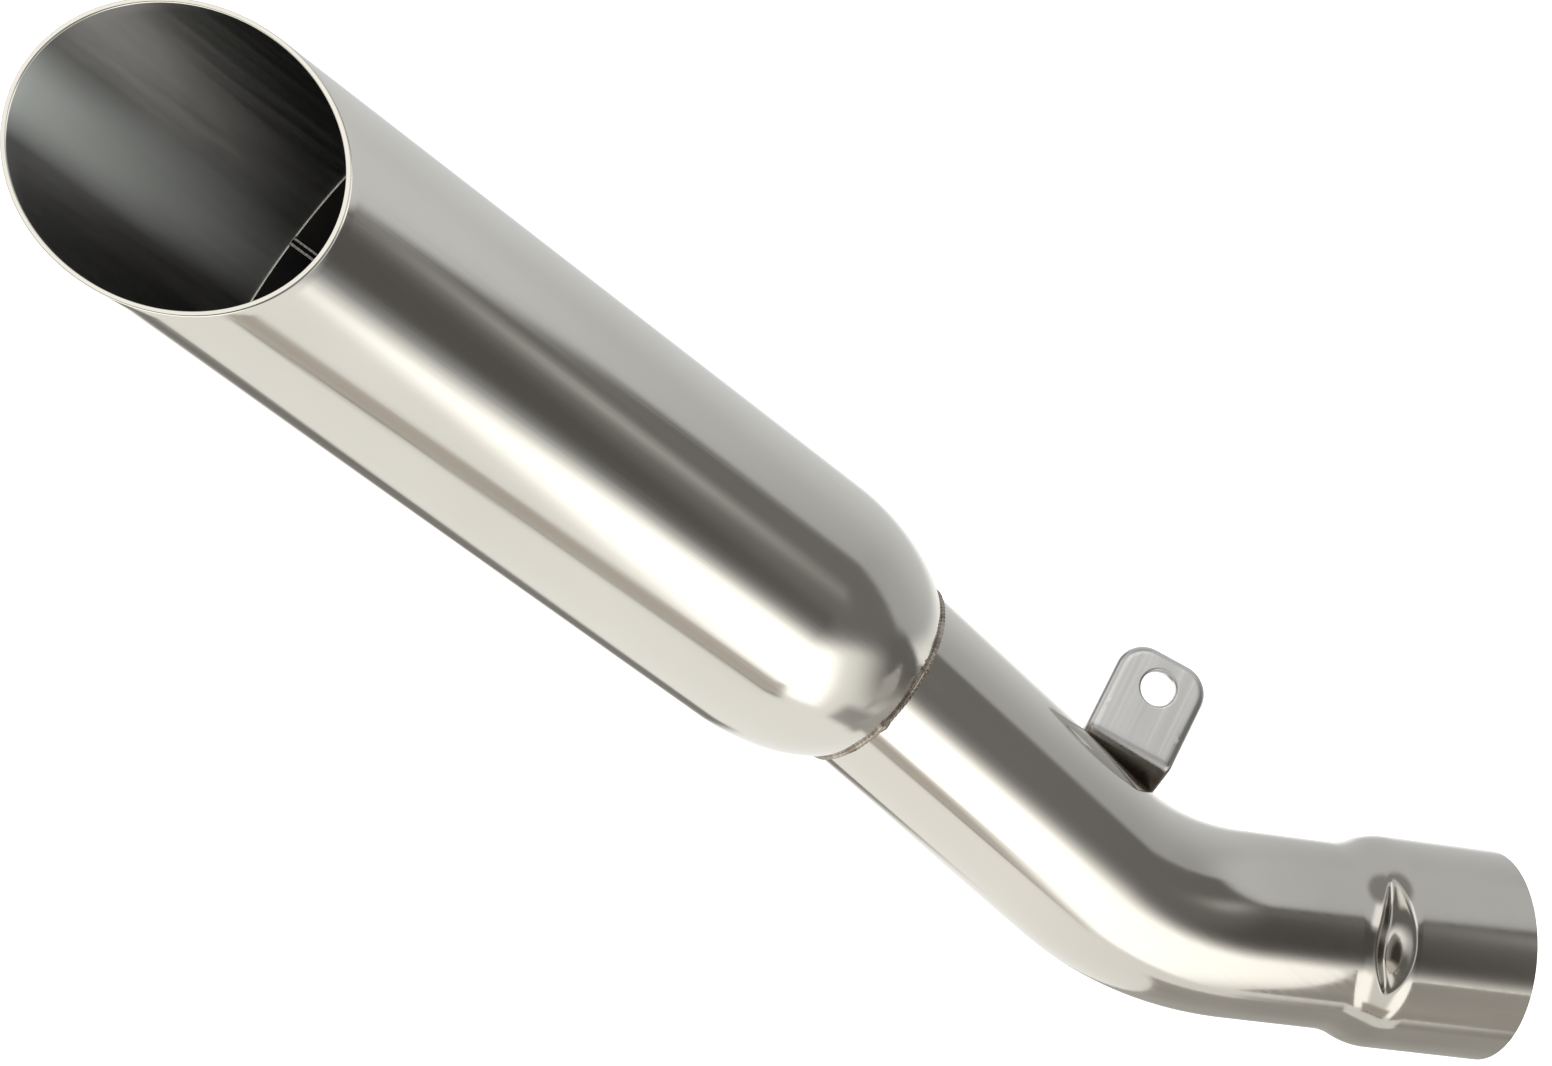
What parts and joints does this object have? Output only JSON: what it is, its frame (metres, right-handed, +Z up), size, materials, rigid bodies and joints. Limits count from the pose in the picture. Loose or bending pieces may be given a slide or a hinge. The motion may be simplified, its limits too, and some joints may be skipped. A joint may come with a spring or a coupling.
{
  "type": "motorcycle exhaust muffler",
  "caption": "Short slip-on muffler: slash-cut round can with a domed front, bent inlet pipe swelled to a socket, folded hanger tab and an absorptive core.",
  "frame": {"origin": "centre of the inlet socket's mouth", "axes": "+X out of the socket's mouth along its axis, towards the header pipe; +Z up, with the pipe bent in the XZ plane; the slash cut opens and the hanger tab faces towards -Y"},
  "size_m": [0.4205, 0.0698, 0.2175],
  "materials": {
    "polished_stainless": "polished with a fine lengthwise grain",
    "satin_stainless": "satin, as pressed from flat bar",
    "weld_bead": "rippled, with slight straw heat tint",
    "raw_stainless": "mill finish, inside the can",
    "steel_wool": "fibrous steel wool",
    "glass_fibre": "matted white to cream fibre"
  },
  "bodies": {
    "root": {"can_shell": "polished_stainless", "front_dome": "polished_stainless", "inlet_pipe": "polished_stainless", "mount_bracket": "satin_stainless", "shell_girth_weld": "weld_bead", "pipe_dome_weld": "weld_bead", "bracket_weld": "weld_bead", "bulkhead_tack_welds": "weld_bead", "core_seam_weld": "weld_bead", "bell_seam_weld": "weld_bead", "bell_plug_welds": "weld_bead", "core_sleeve": "raw_stainless", "front_bulkhead": "raw_stainless", "perforated_core": "raw_stainless", "outlet_bell": "raw_stainless", "steel_wool_wrap": "steel_wool", "packing_sleeve": "glass_fibre"}
  },
  "joints": []
}
